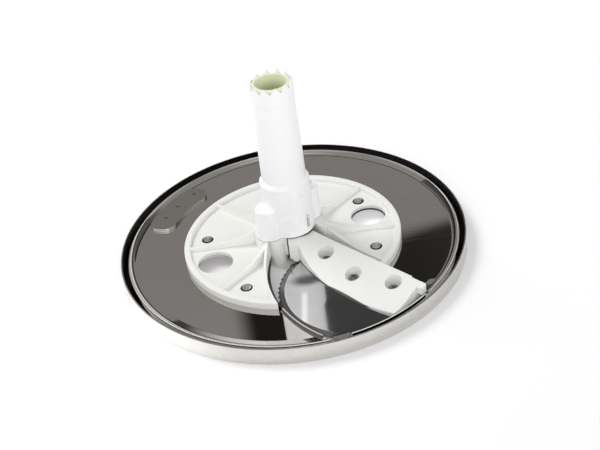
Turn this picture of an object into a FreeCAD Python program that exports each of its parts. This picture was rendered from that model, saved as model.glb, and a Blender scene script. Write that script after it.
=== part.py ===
import FreeCAD, Part
import math
import os

V = FreeCAD.Vector
UP = V(0, 0, 1)
os.makedirs("parts", exist_ok=True)

# Adjustable slicing disc of a food processor, lying with its cutting side down and its stem up.
# Lengths in millimetres. Z = 0 is the lower edge of the rim hoop, and the stem's axis is Z.

# Fits between pieces
seam = 0.6              # side gap between the lifting half and the fixed half
running_fit = 0.1       # radial gap of the core in the tube
seat_gap = 0.8          # gap under the collar when the lifting half is down
press_fit = 0.01        # gap of a piece that is pressed or bonded into another
travel = 5.0            # lift of the plate, from the thin slice to the thick one

# Rim hoop
hoop_radius = 95.0
hoop_wall = 1.0
hoop_height = 9.5
hoop_round = 0.3

# Sheet steel of the main plate
sheet = 0.8
plate_top = 5.9
lip_rise = 2.2
lip_turn = 60.0         # how far the lip is rolled up from flat, in degrees
lip_gap = 2.7           # between the turned-up lip and the hoop
lip_start = -45.2       # the lip runs round from here, in degrees
lip_end = -82.8

# Blade; its crest is the point of the cutting edge that lies farthest from the arm
blade_drawn_radius = 88.0   # the curves of the blade and arm are drawn for this reach and grow with it
blade_sheet = 0.8
blade_bend = 2.2
blade_top = 5.2
blade_crest = 54.8      # along the arm
blade_reach = 51.5      # across it
edge_radius = 42.3
bevel_width = 3.8
edge_thickness = 0.15
bevel_start = 138.0     # directions seen from the centre of the edge's curve, in degrees
bevel_end = 244.0
inner_gap = 1.2         # between the blade's inner end and the cap
blade_lip_step = 0.3    # how far its lip lies inside the plate's lip
blade_lip_top = 8.1
blade_lip_start = -75.8
blade_lip_end = -46.6
tab_start = -81.6
tab_root = 2.0
tab_clear = 30.0        # sector beside the tab in which the blade stops short of its lip
tab_top = 9.0
tooth_count = 8
tooth_step = 5.3
tooth_first = 146.0
tooth_round = 2.6
tooth_depth = 0.9

# Gap between the cutting edge and the slot's other edge, at three directions from the edge's centre
slot_gaps = [(146.0, 11.0), (180.3, 1.8), (234.0, 1.3)]
slot_bend = 1.2
slot_flange_top = 7.6
slot_flange_set_in = 1.1    # how far short of the lip's bend it stops

# Arm that carries the blade: a wedge, high along its straight side
arm_angle = -47.4
arm_side = 3.9          # distance of the straight side from the axis
arm_high = 15.6
arm_high_end = 14.2
arm_low = 5.1
arm_end_gap = 1.0       # between the arm's end and the bend of the blade's lip
near_widths = [(26.7, 15.3), (58.0, 20.7), (84.8, 18.2)]
root_left = -2.7
root_front = -18.5
root_corner = (15.5, 12.6)
root_step_radius = 19.0
root_step = 2.1
shoulder = [(16.0, 12.5, 15.4), (23.0, 14.5, 10.5), (31.0, 17.5, 7.4)]
ring_radius = 11.2
finger_length = 6.3
finger_gap = 1.0
finger_width = 3.6
finger_set_in = 0.6
finger_rest = 0.3       # between the finger and the blade's lip

# Screws of the arm: distance in from the arm's end, and distance across it
arm_screws = [(58.5, 3.8), (36.1, 7.8), (13.1, 3.15)]
arm_recess_radius = 4.4
arm_floor = 7.0
arm_head_radius = 2.9
arm_head_height = 1.4
arm_shank_radius = 1.5

# Hub moulding
hub_radius = 59.8
web = 2.0
rim_top = 10.2
rim_width = 3.5
rim_round = 0.8
hub_gaps = [(166.0, 0.1), (180.0, 0.7), (196.0, 1.5)]
hub_side = 7.8          # straight side of the hub beside the arm, from the axis
boss_radius = 20.2
boss_round = 0.8
boss_wall = 1.6
rib_thickness = 2.0
rib_angles = [135.0, 179.5, -135.2, 42.6, -3.2]
rib_fall = 3.5          # how sharply the ribs sink from the boss to the rim
side_rib_set_in = 1.7
edge_rib = 1.5

# Screws and finger holes of the hub
hub_screw_set_in = 12.0
hub_screw_angles = [168.7, -125.1, 33.5, -23.2]
hub_head_radius = 2.9
hub_head_height = 1.1
hub_head_sink = 0.5
hub_head_gap = 0.4
hub_shank_radius = 1.5
finger_hole_set_in = 14.8
finger_hole_angles = [-163.3, 14.6]
finger_hole_radius = 9.6
plate_hole_step = 0.4   # how much smaller the plate's finger holes are

# Drive tube with its collar and crown
bore_radius = 10.2
crown_radius = 11.4
tube_top_radius = 11.2
tube_foot_radius = 11.9
collar_bottom = 17.0
collar_top = 47.0
collar_radius = 13.4
collar_shoulder = 2.4
crown_height = 11.9
crown_step = 0.4
crown_root_drop = 1.7   # from the core's top down to the roots of the teeth
tooth_height = 3.6
crown_teeth = 12
crown_turn = 24.0
lobe_set_in = 0.5
lobe_round = 0.8
lobes = [(-150.6, 7.9, 6.6, 34.5), (38.0, 7.6, 7.0, 36.0)]  # direction, radius below and above, top
post_set_out = 1.3
post_angles = [-130.9, 41.0]
post_radius = 4.7
post_bottom = 1.6
pocket_radius = 2.4
pocket_depth = 2.5
pocket_offset = 3.0

# Core that carries the fixed half and takes the motor's shaft
core_top = 105.0
core_chamfer = 0.5
drive_bore_radius = 5.5
drive_bore_bottom = 32.0
mouth_radius = 8.4
mouth_foot_radius = 7.7
mouth_depth = 9.0

# Guide pin through the core, running in two slots of the collar
pin_radius = 1.1
pin_height = 26.6
pin_angle = -43.5
pin_set_in = 0.2
pin_side_gap = 0.1
pin_end_gap = 0.3

# Collar screws and the cap over them
collar_head_radius = 2.9
collar_head_height = 2.0
collar_head_sink = 0.4
collar_shank_radius = 1.5
collar_shank_reach = 10.0
screw_hole_gap = 0.05
lift_gap = 0.4          # left under the arm's ring when the lifting half is up
cap_radius = 18.4
cap_floor = 1.0
cap_wall = 1.4
cap_wall_start = -15.0
cap_wall_end = 195.0

# Balance weight spot-welded to the main plate
weight_start = 128.0
weight_end = 160.0
weight_set_in = 0.1
weight_share = 0.559    # of the width between the hub and the lip's bend
weight_thickness = 1.5
corner_share = 0.45     # of the weight's width
weld_share = 0.44
weld_angles = [132.4, 142.8, 151.6]
weld_radius = 1.1
weld_depth = 0.3

# Places worked out from the sizes above
plate_bottom = plate_top - sheet
blade_bottom = blade_top - blade_sheet
web_top = plate_top + web
hoop_inner = hoop_radius - hoop_wall
lip_radius = hoop_inner - lip_gap
lip_bend = lip_rise / (1 - math.cos(math.radians(lip_turn)))
bend_start = lip_radius - (lip_bend + sheet) * math.sin(math.radians(lip_turn))
blade_lip_radius = lip_radius - blade_lip_step
blade_bend_start = blade_lip_radius - blade_bend - blade_sheet
blade_inner_radius = cap_radius + inner_gap
tab_inner_radius = blade_bend_start - tab_root
blade_growth = blade_bend_start / blade_drawn_radius
cut_radius = edge_radius * blade_growth
arm_end = blade_bend_start - arm_end_gap
finger_start = arm_end - finger_length
finger_end = blade_lip_radius - finger_gap
finger_floor = blade_lip_top + finger_rest
core_radius = bore_radius - running_fit
ring_top = collar_bottom - seat_gap
collar_seat = post_bottom + collar_head_sink + collar_head_height
ring_bottom = collar_seat + travel + lift_gap
root_bottom = blade_top + root_step
boss_bore = ring_radius + seam
post_circle = boss_bore + post_set_out
lobe_circle = collar_radius - lobe_set_in
hub_screw_circle = hub_radius - hub_screw_set_in
finger_hole_circle = hub_radius - finger_hole_set_in
plate_hole_radius = finger_hole_radius - plate_hole_step
crown_root = core_top - crown_root_drop
crown_tip = crown_root + tooth_height
crown_bottom = crown_tip - crown_height
cap_bottom = post_bottom - cap_floor
weight_outer_radius = bend_start - weight_set_in
weight_width = weight_share * (bend_start - hub_radius)
weight_inner_radius = weight_outer_radius - weight_width
weight_corner = corner_share * weight_width
weld_circle = weight_outer_radius - weld_share * weight_width
far = 2 * hoop_radius


def polar(radius, degrees, z=0.0):
    a = math.radians(degrees)
    return V(radius * math.cos(a), radius * math.sin(a), z)


def along_arm(u, v, z=0.0):
    """Point u along the arm and v across it, towards its low side."""
    a = math.radians(arm_angle)
    return V(u * math.cos(a) + v * math.sin(a), u * math.sin(a) - v * math.cos(a), z)


def circle_through(p, q, r):
    """Centre and radius of the circle through three points."""
    circle = Part.Arc(p, q, r).toShape().Curve
    return circle.Center, circle.Radius


def beside_curve(centre, radius, gaps):
    """Circle that keeps a gap from another one in three directions."""
    points = [centre + polar(radius + gap, direction) for direction, gap in gaps]
    return circle_through(*points)


edge_centre = along_arm(blade_crest, blade_reach - edge_radius) * blade_growth
slot_centre, slot_radius = beside_curve(edge_centre, cut_radius, slot_gaps)
hub_edge_centre, hub_edge_radius = beside_curve(slot_centre, slot_radius, hub_gaps)
near_centre, near_radius = circle_through(*[along_arm(u * blade_growth, v) for u, v in near_widths])
screw_points = [along_arm(arm_end - inward * blade_growth, v) for inward, v in arm_screws]


def cylinder(p, radius, low, high):
    return Part.makeCylinder(radius, high - low, V(p.x, p.y, low))


def prism(points, low, high):
    corners = [V(p.x, p.y, low) for p in points]
    face = Part.Face(Part.makePolygon(corners + corners[:1]))
    return face.extrude(V(0, 0, high - low))


def profile_face(edges):
    return Part.Face(Part.Wire(edges))


AXIS = V(0, 0, 0)


def turned(points, start=0.0, sweep=360.0, centre=AXIS):
    """Solid turned about Z through centre; points are (radius, z), and a pair in a list is an arc."""
    edges = []
    last = None
    for item in points:
        if isinstance(item, list):
            mid = V(item[0][0], 0, item[0][1])
            end = V(item[1][0], 0, item[1][1])
            edges.append(Part.Arc(last, mid, end).toShape())
        else:
            end = V(item[0], 0, item[1])
            if last is not None:
                edges.append(Part.makeLine(last, end))
        last = end
    first = V(points[0][0], 0, points[0][1])
    if (first - last).Length > 1e-6:
        edges.append(Part.makeLine(last, first))
    solid = profile_face(edges).revolve(AXIS, UP, sweep)
    solid.rotate(AXIS, UP, start)
    solid.translate(V(centre.x, centre.y, 0))
    return solid


def tube_between(inner, outer, low, high, start=0.0, sweep=360.0, centre=AXIS):
    return turned([(inner, low), (outer, low), (outer, high), (inner, high)], start, sweep, centre)


def on_arc(x, z, size, degrees):
    a = math.radians(degrees)
    return (x + size * math.cos(a), z + size * math.sin(a))


def upturned_lip(top, thickness, bend, outer, height, inner):
    """Flat sheet that turns up in a quarter bend; inner is where the flat starts."""
    start = outer - bend - thickness
    centre_z = top + bend
    return [
        (inner, top - thickness),
        (start, top - thickness),
        [on_arc(start, centre_z, bend + thickness, -45), (outer, centre_z)],
        (outer, height),
        (outer - thickness, height),
        (outer - thickness, centre_z),
        [on_arc(start, centre_z, bend, -45), (start, top)],
        (inner, top),
    ]


def rolled_lip(top, thickness, bend, turn, start, inner):
    """Flat sheet that rolls up by turn degrees from start; inner is where the flat starts."""
    centre_z = top + bend
    over = bend + thickness
    return [
        (inner, top - thickness),
        (start, top - thickness),
        [on_arc(start, centre_z, over, turn / 2 - 90), on_arc(start, centre_z, over, turn - 90)],
        on_arc(start, centre_z, bend, turn - 90),
        [on_arc(start, centre_z, bend, turn / 2 - 90), (start, top)],
        (inner, top),
    ]


def direction_at(centre, curve_radius, radius):
    """Direction from centre to the point of its circle that lies at this distance from the axis."""
    reach = math.hypot(centre.x, centre.y)
    bearing = math.degrees(math.atan2(centre.y, centre.x))
    ratio = (radius ** 2 - reach ** 2 - curve_radius ** 2) / (2 * reach * curve_radius)
    return bearing - math.degrees(math.acos(max(-1.0, min(1.0, ratio))))


def below_side(distance, low, high):
    """Everything on the low side of a line beside the arm, at this distance from the axis."""
    corners = [along_arm(-far, -distance), along_arm(far, -distance), along_arm(far, far)]
    corners.append(along_arm(-far, far))
    return prism(corners, low, high)


def open_rim(low, high):
    """Sector in which the lifting half has no lip."""
    return tube_between(bend_start - seam, far, low, high, lip_end, (lip_start - lip_end) % 360.0)


def make_rim_hoop():
    hoop = tube_between(hoop_inner, hoop_radius, 0, hoop_height)
    rims = [e for e in hoop.Edges if isinstance(e.Curve, Part.Circle)]
    return hoop.makeFillet(hoop_round, rims)


def slot_flange(start, sweep):
    """Edge of the main plate bent up along the slot."""
    inner = slot_radius + sheet + slot_bend
    bend_z = plate_top + slot_bend
    return turned([
        (inner, plate_bottom),
        [on_arc(inner, bend_z, slot_bend + sheet, -135), (slot_radius, bend_z)],
        (slot_radius, slot_flange_top),
        (slot_radius + sheet, slot_flange_top),
        (slot_radius + sheet, bend_z),
        [on_arc(inner, bend_z, slot_bend, -135), (inner, plate_top)],
    ], start, sweep, slot_centre)


def make_main_plate():
    plate = turned(rolled_lip(plate_top, sheet, lip_bend, lip_turn, bend_start, boss_bore + boss_wall))
    low = plate_bottom - 1
    high = plate_top + lip_rise + 1
    below = below_side(arm_side + seam, low, high)
    plate = plate.cut(cylinder(slot_centre, slot_radius, low, high).common(below))
    plate = plate.cut(open_rim(low, high).common(below))
    for angle in post_angles:
        plate = plate.cut(cylinder(polar(post_circle, angle), post_radius + screw_hole_gap, low, high))
    start = direction_at(slot_centre, slot_radius, hub_radius + seam)
    sweep = direction_at(slot_centre, slot_radius, bend_start - slot_flange_set_in) - start
    inner = slot_radius + sheet + slot_bend
    plate = plate.cut(tube_between(slot_radius - 1, inner, low, high, start, sweep, slot_centre))
    plate = plate.fuse(slot_flange(start, sweep))
    for angle in finger_hole_angles:
        plate = plate.cut(cylinder(polar(finger_hole_circle, angle), plate_hole_radius, low, high))
    for angle in hub_screw_angles:
        plate = plate.cut(cylinder(polar(hub_screw_circle, angle), hub_shank_radius, low, high))
    return plate.removeSplitter()


def make_balance_weight():
    top = plate_top + weight_thickness
    bar = tube_between(weight_inner_radius, weight_outer_radius, plate_top, top,
                       weight_start, weight_end - weight_start)
    uprights = [e for e in bar.Edges if abs(e.BoundBox.ZLength - weight_thickness) < 1e-6]
    bar = bar.makeFillet(weight_corner, uprights)
    for angle in weld_angles:
        bar = bar.cut(cylinder(polar(weld_circle, angle), weld_radius, top - weld_depth, top + 1))
    return bar


def make_blade_plate():
    low = blade_bottom - 1
    high = blade_top + 1
    flat = cylinder(edge_centre, cut_radius, blade_bottom, blade_top)
    flat = flat.common(cylinder(AXIS, blade_bend_start, low, high))
    flat = flat.common(below_side(arm_side, low, high))
    flat = flat.cut(cylinder(AXIS, blade_inner_radius, low, high))
    inner = cut_radius - bevel_width
    over = cut_radius + 1
    slope = (blade_sheet - edge_thickness) / bevel_width
    bevel = turned([(inner, blade_top), (over, blade_top - slope * (over - inner)), (over, high),
                    (inner, high)], bevel_start, bevel_end - bevel_start, edge_centre)
    flat = flat.cut(bevel)
    for i in range(tooth_count):
        p = edge_centre + polar(cut_radius - tooth_depth + tooth_round, tooth_first + i * tooth_step)
        flat = flat.cut(cylinder(p, tooth_round, low, high))
    profile = upturned_lip(blade_top, blade_sheet, blade_bend, blade_lip_radius, blade_lip_top,
                           blade_bend_start - blade_sheet)
    lip = turned(profile, blade_lip_start, blade_lip_end - blade_lip_start)
    tab_sweep = blade_lip_start - tab_start
    tab_end = hoop_inner - press_fit
    tab_mid = (tab_inner_radius + tab_end) / 2
    rise = 0.4 * (tab_top - blade_top)
    tab = turned([
        (tab_inner_radius, blade_bottom),
        [(tab_mid, blade_bottom + rise), (tab_end, tab_top - blade_sheet)],
        (tab_end, tab_top),
        [(tab_mid, blade_top + rise), (tab_inner_radius, blade_top)],
    ], tab_start, tab_sweep)
    root = tube_between(tab_inner_radius - tab_root, tab_inner_radius, blade_bottom, blade_top,
                        tab_start, tab_sweep)
    rim_gap = tube_between(tab_inner_radius, far, low, high, tab_start - tab_clear, tab_sweep + tab_clear)
    blade = flat.cut(rim_gap).fuse([lip, tab, root])
    for p in screw_points:
        blade = blade.cut(cylinder(p, arm_shank_radius, low, high))
    return blade.removeSplitter()


def near_width(u):
    """Width of the arm's curved side at this station."""
    centre_u = near_centre.dot(along_arm(1, 0))
    centre_v = near_centre.dot(along_arm(0, 1))
    return centre_v + math.sqrt(max(0.0, near_radius ** 2 - (u - centre_u) ** 2))


def arm_top_space():
    """Everything above the arm's twisted top face."""
    past = 1.5
    length = 1.2 * arm_end
    sink = (arm_high - arm_high_end) / arm_end
    high_line = Part.makeLine(along_arm(0, -arm_side - past, arm_high + past * sink),
                              along_arm(length, -arm_side - past, arm_high - sink * length))
    low_points = [along_arm(0, shoulder[0][1], ring_top)]
    low_points += [along_arm(u, v, z) for u, v, z in shoulder]
    stations = (0.52 * arm_end, 0.73 * arm_end, length)
    low_points += [along_arm(u, near_width(u) + past, arm_low) for u in stations]
    low_curve = Part.BSplineCurve()
    low_curve.interpolate(low_points)
    top = Part.makeRuledSurface(high_line, low_curve.toShape())
    return top.extrude(V(0, 0, 3 * arm_high))


def make_blade_arm():
    low = blade_top
    high = arm_high + 1
    root_u, root_v = root_corner
    outline = prism([along_arm(root_u, -arm_side), along_arm(arm_end, -arm_side),
                     along_arm(arm_end, far), along_arm(root_u, far)], low, high)
    outline = outline.common(cylinder(near_centre, near_radius, low, high))
    outline = outline.common(cylinder(AXIS, blade_bend_start, low, high))
    root_block = prism([V(root_left, 0, 0), V(root_left, root_front, 0), along_arm(root_u, root_v),
                        along_arm(root_u, -arm_side), along_arm(0, -arm_side)], low, high)
    side = -arm_side + finger_set_in
    step = prism([along_arm(finger_start, -far), along_arm(far, -far),
                  along_arm(far, side), along_arm(finger_start, side)], low, high)
    finger = prism([along_arm(finger_start, side), along_arm(finger_end, side),
                    along_arm(finger_end, side + finger_width), along_arm(finger_start, side + finger_width)],
                   finger_floor, high)
    arm = outline.fuse(root_block).cut(step).fuse(finger)
    arm = arm.cut(cylinder(AXIS, root_step_radius, low - 1, root_bottom))
    arm = arm.cut(cylinder(AXIS, ring_radius - 1, low - 1, high + 1))
    arm = arm.cut(arm_top_space())
    arm = arm.fuse(cylinder(AXIS, ring_radius, ring_bottom, ring_top))
    arm = arm.cut(cylinder(AXIS, core_radius + press_fit, low - 1, high + 1))
    for p in screw_points:
        arm = arm.cut(cylinder(p, arm_recess_radius, arm_floor, high))
        arm = arm.cut(cylinder(p, arm_shank_radius, low - 1, arm_floor + 1))
    return arm.removeSplitter()


def cross_slot(p, top, radius):
    """Cross-shaped drive recess in a screw head."""
    length = 1.3 * radius
    width = 0.26 * radius
    bar = Part.makeBox(length, width, radius, V(-length / 2, -width / 2, top - 0.2 * radius))
    other = bar.copy()
    other.rotate(AXIS, UP, 90)
    cross = bar.fuse(other)
    cross.rotate(AXIS, UP, 30)
    cross.translate(V(p.x, p.y, 0))
    return cross


def pan_screw(p, seat, head_radius, head_height, shank_radius, shank_end):
    """Screw with a domed head above its seat and a shank down to shank_end."""
    top = seat + head_height
    screw = turned([
        (0, shank_end),
        (shank_radius, shank_end),
        (shank_radius, seat),
        (head_radius, seat),
        (head_radius, seat + 0.45 * head_height),
        [(0.62 * head_radius, top - 0.12 * head_height), (0, top)],
    ], centre=p)
    return screw.cut(cross_slot(p, top, head_radius))


def make_arm_screw(p):
    return pan_screw(p, arm_floor, arm_head_radius, arm_head_height, arm_shank_radius, blade_bottom)


def rib_envelope():
    """Space under the ribs' hollow top line, which sinks from the boss to the rim."""
    inner = boss_radius - boss_round
    outer = hub_radius - rim_width / 2
    steps = 8
    tops = []
    for i in range(steps + 1):
        t = i / steps
        low_end = rim_top - 0.2
        tops.append(V(outer + (inner - outer) * t, 0, low_end + (collar_bottom - low_end) * t ** rib_fall))
    curve = Part.BSplineCurve()
    curve.interpolate(tops)
    inner_foot = V(inner, 0, plate_top)
    outer_foot = V(outer, 0, plate_top)
    face = profile_face([curve.toShape(), Part.makeLine(tops[-1], inner_foot),
                         Part.makeLine(inner_foot, outer_foot), Part.makeLine(outer_foot, tops[0])])
    return face.revolve(AXIS, UP, 360)


def make_ribs():
    """Ribs between boss and rim, the one beside the arm and the one along the slot."""
    half = rib_thickness / 2
    strips = []
    for angle in rib_angles:
        strip = prism([V(0, -half, 0), V(hub_radius, -half, 0), V(hub_radius, half, 0), V(0, half, 0)],
                      plate_top, collar_bottom)
        strip.rotate(AXIS, UP, angle)
        strips.append(strip)
    side = -(hub_side + side_rib_set_in)
    strips.append(prism([along_arm(0, side), along_arm(hub_radius, side),
                         along_arm(hub_radius, side - rib_thickness), along_arm(0, side - rib_thickness)],
                        plate_top, collar_bottom))
    start = direction_at(hub_edge_centre, hub_edge_radius, boss_radius - boss_round)
    sweep = direction_at(hub_edge_centre, hub_edge_radius, hub_radius) - start
    strips.append(tube_between(hub_edge_radius, hub_edge_radius + edge_rib, plate_top, collar_bottom,
                               start, sweep, hub_edge_centre))
    envelope = rib_envelope()
    return [strip.common(envelope) for strip in strips]


def make_hub_moulding():
    rim_inner = hub_radius - rim_width
    hub = turned([
        (boss_bore, plate_top),
        (hub_radius, plate_top),
        (hub_radius, rim_top - rim_round),
        [on_arc(hub_radius - rim_round, rim_top - rim_round, rim_round, 45),
         (hub_radius - rim_round, rim_top)],
        (rim_inner + rim_round, rim_top),
        [on_arc(rim_inner + rim_round, rim_top - rim_round, rim_round, 135),
         (rim_inner, rim_top - rim_round)],
        (rim_inner, web_top),
        (boss_radius, web_top),
        (boss_radius, collar_bottom - boss_round),
        [on_arc(boss_radius - boss_round, collar_bottom - boss_round, boss_round, 45),
         (boss_radius - boss_round, collar_bottom)],
        (boss_bore, collar_bottom),
    ])
    hub = hub.fuse(make_ribs())
    low = post_bottom - 1
    high = collar_bottom + 1
    below = below_side(hub_side, low, high)
    slot = cylinder(hub_edge_centre, hub_edge_radius, low, high).common(below)
    hub = hub.cut(slot.cut(cylinder(AXIS, boss_bore + boss_wall, low, high)))
    posts = [polar(post_circle, angle) for angle in post_angles]
    hub = hub.fuse([cylinder(p, post_radius, post_bottom, collar_bottom) for p in posts])
    passage = prism([V(root_left - seam, 0, 0), V(root_left - seam, -far, 0), along_arm(far, far),
                     along_arm(far, -hub_side), along_arm(0, -hub_side)], low, high)
    hub = hub.cut([cylinder(AXIS, boss_bore, low, high), passage])
    for angle in finger_hole_angles:
        hub = hub.cut(cylinder(polar(finger_hole_circle, angle), finger_hole_radius, low, high))
    for angle in hub_screw_angles:
        p = polar(hub_screw_circle, angle)
        hub = hub.cut(cylinder(p, hub_shank_radius, low, high))
        hub = hub.cut(cylinder(p, hub_head_radius + hub_head_gap, web_top - hub_head_sink, high))
    for p in posts:
        hub = hub.cut(cylinder(p, collar_head_radius + screw_hole_gap, low, collar_seat))
        hub = hub.cut(cylinder(p, collar_shank_radius + screw_hole_gap, low, high))
    return hub.removeSplitter()


def make_hub_screw(angle):
    p = polar(hub_screw_circle, angle)
    seat = web_top - hub_head_sink
    return pan_screw(p, seat, hub_head_radius, hub_head_height, hub_shank_radius, plate_bottom)


def crown_notches():
    pitch = 360.0 / crown_teeth
    half = crown_radius * math.tan(math.radians(pitch / 2))
    over = 0.5
    wide = half * (1 + over / tooth_height)
    start = bore_radius - 1
    face = Part.Face(Part.makePolygon([
        V(start, 0, crown_root),
        V(start, -wide, crown_tip + over),
        V(start, wide, crown_tip + over),
        V(start, 0, crown_root),
    ]))
    notch = face.extrude(V(crown_radius - start + 2, 0, 0))
    notches = []
    for i in range(crown_teeth):
        copy = notch.copy()
        copy.rotate(AXIS, UP, crown_turn + i * pitch)
        notches.append(copy)
    return notches


def make_drive_tube():
    tube = turned([
        (bore_radius, collar_bottom),
        (collar_radius, collar_bottom),
        (collar_radius, collar_top),
        (tube_foot_radius, collar_top + collar_shoulder),
        (tube_top_radius, crown_bottom),
        (crown_radius, crown_bottom + crown_step),
        (crown_radius, crown_tip),
        (bore_radius, crown_tip),
    ])
    for angle, foot, head, top in lobes:
        lobe = Part.makeCone(foot, head, top - collar_bottom, polar(lobe_circle, angle, collar_bottom))
        rims = [e for e in lobe.Edges if isinstance(e.Curve, Part.Circle) and e.BoundBox.ZMin > top - 0.1]
        tube = tube.fuse(lobe.makeFillet(lobe_round, rims))
    tube = tube.cut(cylinder(AXIS, bore_radius, collar_bottom - 1, crown_tip + 1))
    tube = tube.cut(crown_notches())
    half_slot = pin_radius + pin_side_gap
    slot_low = pin_height - pin_radius - travel - pin_end_gap
    slot_high = pin_height + pin_radius + pin_end_gap
    slot = Part.makeBox(2 * far, 2 * half_slot, slot_high - slot_low, V(-far, -half_slot, slot_low))
    slot.rotate(AXIS, UP, pin_angle)
    tube = tube.cut(slot)
    angle, foot, head, top = lobes[1]
    pocket = cylinder(polar(lobe_circle + pocket_offset, angle), pocket_radius, top - pocket_depth, top + 1)
    tube = tube.cut(pocket.cut(cylinder(AXIS, collar_radius, collar_bottom, collar_top)))
    for angle in post_angles:
        tube = tube.cut(cylinder(polar(post_circle, angle), collar_shank_radius + screw_hole_gap,
                                 collar_bottom - 1, collar_bottom + collar_shank_reach + 1))
    return tube.removeSplitter()


def make_drive_core():
    core = turned([
        (0, ring_bottom),
        (core_radius, ring_bottom),
        (core_radius, core_top - core_chamfer),
        (core_radius - core_chamfer, core_top),
        (mouth_radius, core_top),
        (mouth_foot_radius, core_top - mouth_depth),
        (drive_bore_radius, core_top - mouth_depth),
        (drive_bore_radius, drive_bore_bottom),
        (0, drive_bore_bottom),
    ])
    hole = Part.makeCylinder(pin_radius + press_fit, 2 * far, V(-far, 0, pin_height), V(1, 0, 0))
    hole.rotate(AXIS, UP, pin_angle)
    return core.cut(hole)


def make_guide_pin():
    half = collar_radius - pin_set_in
    pin = Part.makeCylinder(pin_radius, 2 * half, V(-half, 0, pin_height), V(1, 0, 0))
    pin = pin.makeChamfer(0.2 * pin_radius, [e for e in pin.Edges if isinstance(e.Curve, Part.Circle)])
    pin.rotate(AXIS, UP, pin_angle)
    return pin


def make_collar_screw(angle):
    p = polar(post_circle, angle)
    head = cylinder(p, collar_head_radius, collar_seat - collar_head_height, collar_seat)
    shank = cylinder(p, collar_shank_radius, collar_seat, collar_bottom + collar_shank_reach)
    return head.fuse(shank).removeSplitter()


def make_centre_cap():
    cap = cylinder(AXIS, cap_radius, cap_bottom, post_bottom)
    rims = [e for e in cap.Edges if isinstance(e.Curve, Part.Circle) and e.BoundBox.ZMax < cap_bottom + 0.1]
    cap = cap.makeFillet(0.4 * cap_floor, rims)
    wall = tube_between(cap_radius - cap_wall, cap_radius, post_bottom, plate_bottom,
                        cap_wall_start, cap_wall_end - cap_wall_start)
    for angle in post_angles:
        p = polar(post_circle, angle)
        wall = wall.cut(cylinder(p, post_radius + screw_hole_gap, cap_bottom, plate_top))
    return cap.fuse(wall).removeSplitter()


pieces = {
    "rim_hoop": make_rim_hoop(),
    "blade_plate": make_blade_plate(),
    "blade_arm": make_blade_arm(),
    "drive_core": make_drive_core(),
    "guide_pin": make_guide_pin(),
    "main_plate": make_main_plate(),
    "balance_weight": make_balance_weight(),
    "hub_moulding": make_hub_moulding(),
    "drive_tube": make_drive_tube(),
    "centre_cap": make_centre_cap(),
}
for i, p in enumerate(screw_points):
    pieces["arm_screw_%d" % (i + 1)] = make_arm_screw(p)
for i, angle in enumerate(hub_screw_angles):
    pieces["hub_screw_%d" % (i + 1)] = make_hub_screw(angle)
for i, angle in enumerate(post_angles):
    pieces["collar_screw_%d" % (i + 1)] = make_collar_screw(angle)

for name, shape in pieces.items():
    print("%-16s solids %d valid %s volume %.0f" % (name, len(shape.Solids), shape.isValid(), shape.Volume))
    shape.exportStep("parts/%s.step" % name)
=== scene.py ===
import bpy
import math
from mathutils import Matrix, Vector


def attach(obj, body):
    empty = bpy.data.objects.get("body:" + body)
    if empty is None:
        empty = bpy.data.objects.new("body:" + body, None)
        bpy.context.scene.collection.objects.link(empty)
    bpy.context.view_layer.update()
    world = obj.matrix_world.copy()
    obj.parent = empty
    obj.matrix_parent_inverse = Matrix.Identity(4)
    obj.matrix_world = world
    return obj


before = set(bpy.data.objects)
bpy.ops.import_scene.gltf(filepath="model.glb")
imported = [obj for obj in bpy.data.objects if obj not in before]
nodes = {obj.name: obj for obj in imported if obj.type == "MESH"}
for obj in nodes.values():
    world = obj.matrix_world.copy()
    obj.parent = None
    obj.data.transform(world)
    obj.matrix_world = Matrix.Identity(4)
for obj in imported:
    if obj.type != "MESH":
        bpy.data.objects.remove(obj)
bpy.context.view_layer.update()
mm = 0.001


# Small helpers for materials

def startMaterial(name, colour, metallic, roughness):
    material = bpy.data.materials.new(name)
    material.use_nodes = True
    tree = material.node_tree
    shader = tree.nodes["Principled BSDF"]
    shader.inputs["Base Color"].default_value = (*colour, 1.0)
    shader.inputs["Metallic"].default_value = metallic
    shader.inputs["Roughness"].default_value = roughness
    return material, tree, shader


def addNode(tree, kind, **values):
    node = tree.nodes.new("ShaderNode" + kind)
    for key, value in values.items():
        if hasattr(node, key):
            setattr(node, key, value)
        else:
            node.inputs[key].default_value = value
    return node


def feed(tree, socket, value):
    if isinstance(value, (int, float)):
        socket.default_value = value
    else:
        tree.links.new(value, socket)


def mathNode(tree, operation, *values):
    node = addNode(tree, "Math", operation=operation)
    for socket, value in zip(node.inputs, values):
        feed(tree, socket, value)
    return node.outputs[0]


def multiply(tree, *values):
    result = values[0]
    for value in values[1:]:
        result = mathNode(tree, "MULTIPLY", result, value)
    return result


def ramp(tree, value, start, end, atStart, atEnd):
    node = addNode(tree, "MapRange", interpolation_type="SMOOTHSTEP")
    for socket, setting in zip(node.inputs, (value, start, end, atStart, atEnd)):
        feed(tree, socket, setting)
    return node.outputs["Result"]


# Soft steps up and down from start to end. With end below start the value runs the other way
def rise(tree, value, start, end):
    return ramp(tree, value, start, end, 0.0, 1.0)


def fall(tree, value, start, end):
    return ramp(tree, value, start, end, 1.0, 0.0)


def blendValues(tree, mask, plain, marked):
    kept = multiply(tree, plain, mathNode(tree, "SUBTRACT", 1.0, mask))
    return mathNode(tree, "ADD", kept, multiply(tree, mask, marked))


def mixColours(tree, mask, plain, marked):
    node = addNode(tree, "Mix", data_type="RGBA")
    feed(tree, node.inputs["Factor"], mask)
    for socket, colour in ((node.inputs[6], plain), (node.inputs[7], marked)):
        if isinstance(colour, tuple):
            socket.default_value = (*colour, 1.0)
        else:
            tree.links.new(colour, socket)
    return node.outputs[2]


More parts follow.
